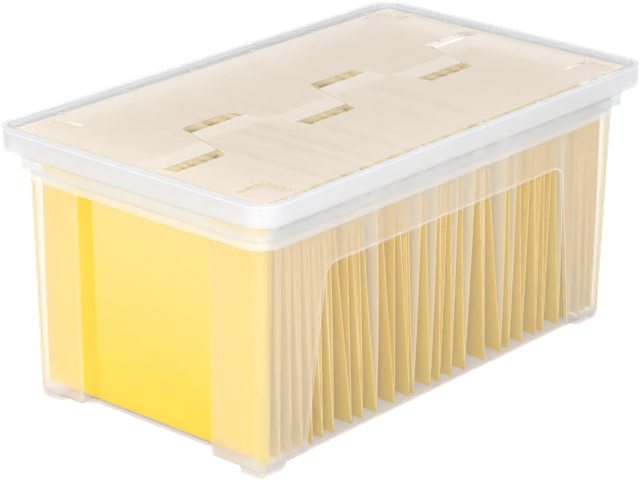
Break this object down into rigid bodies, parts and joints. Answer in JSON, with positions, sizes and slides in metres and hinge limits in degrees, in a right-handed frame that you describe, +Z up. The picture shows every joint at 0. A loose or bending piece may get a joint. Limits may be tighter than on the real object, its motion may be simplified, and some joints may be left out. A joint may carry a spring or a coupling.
{
  "type": "portable file box",
  "caption": "Clear lidded box with two interlocking hinged wings on a lift-off frame, a drafted tub with recessed ends, and hanging folders on its inner rails.",
  "frame": {"origin": "centre of the box in plan, at the level of the feet's undersides", "axes": "+X along the length, +Y across to the rear long side, +Z up"},
  "size_m": [0.608, 0.36, 0.287],
  "materials": {
    "tub_plastic": "clear moulded, lightly frosted",
    "lid_plastic": "translucent moulded",
    "wing_plastic": "translucent moulded, fine grain",
    "folder_card": "uncoated card",
    "rod_steel": "zinc plated"
  },
  "bodies": {
    "box": {"tub": "tub_plastic", "folder_card_01": "folder_card", "folder_card_02": "folder_card", "folder_card_03": "folder_card", "folder_card_04": "folder_card", "folder_card_05": "folder_card", "folder_card_06": "folder_card", "folder_card_07": "folder_card", "folder_card_08": "folder_card", "folder_card_09": "folder_card", "folder_card_10": "folder_card", "folder_card_11": "folder_card", "folder_card_12": "folder_card", "folder_card_13": "folder_card", "folder_card_14": "folder_card", "folder_card_15": "folder_card", "folder_card_16": "folder_card", "folder_card_17": "folder_card", "folder_card_18": "folder_card", "folder_card_19": "folder_card", "folder_card_20": "folder_card", "folder_card_21": "folder_card", "folder_card_22": "folder_card", "folder_card_23": "folder_card", "folder_card_24": "folder_card", "folder_card_25": "folder_card", "folder_card_26": "folder_card", "folder_card_27": "folder_card", "folder_card_28": "folder_card", "folder_rods_01": "rod_steel", "folder_rods_02": "rod_steel", "folder_rods_03": "rod_steel", "folder_rods_04": "rod_steel", "folder_rods_05": "rod_steel", "folder_rods_06": "rod_steel", "folder_rods_07": "rod_steel", "folder_rods_08": "rod_steel", "folder_rods_09": "rod_steel", "folder_rods_10": "rod_steel", "folder_rods_11": "rod_steel", "folder_rods_12": "rod_steel", "folder_rods_13": "rod_steel", "folder_rods_14": "rod_steel", "folder_rods_15": "rod_steel", "folder_rods_16": "rod_steel", "folder_rods_17": "rod_steel", "folder_rods_18": "rod_steel", "folder_rods_19": "rod_steel", "folder_rods_20": "rod_steel", "folder_rods_21": "rod_steel", "folder_rods_22": "rod_steel", "folder_rods_23": "rod_steel", "folder_rods_24": "rod_steel", "folder_rods_25": "rod_steel", "folder_rods_26": "rod_steel", "folder_rods_27": "rod_steel", "folder_rods_28": "rod_steel"},
    "lid": {"lid_frame": "lid_plastic"},
    "front_flap": {"front_wing": "wing_plastic"},
    "rear_flap": {"rear_wing": "wing_plastic"}
  },
  "joints": [
    {"name": "lid_lift", "type": "slide", "parent": "box", "child": "lid", "axis": [0, 0, 1], "range_m": [0, 0.15]},
    {"name": "front_wing_hinge", "type": "hinge", "parent": "lid", "child": "front_flap", "pos_m": [0, -0.1642, 0.2803], "axis": [1, 0, 0], "range_deg": [0, 104]},
    {"name": "rear_wing_hinge", "type": "hinge", "parent": "lid", "child": "rear_flap", "pos_m": [0, 0.1642, 0.2803], "axis": [-1, 0, 0], "range_deg": [0, 104]}
  ]
}
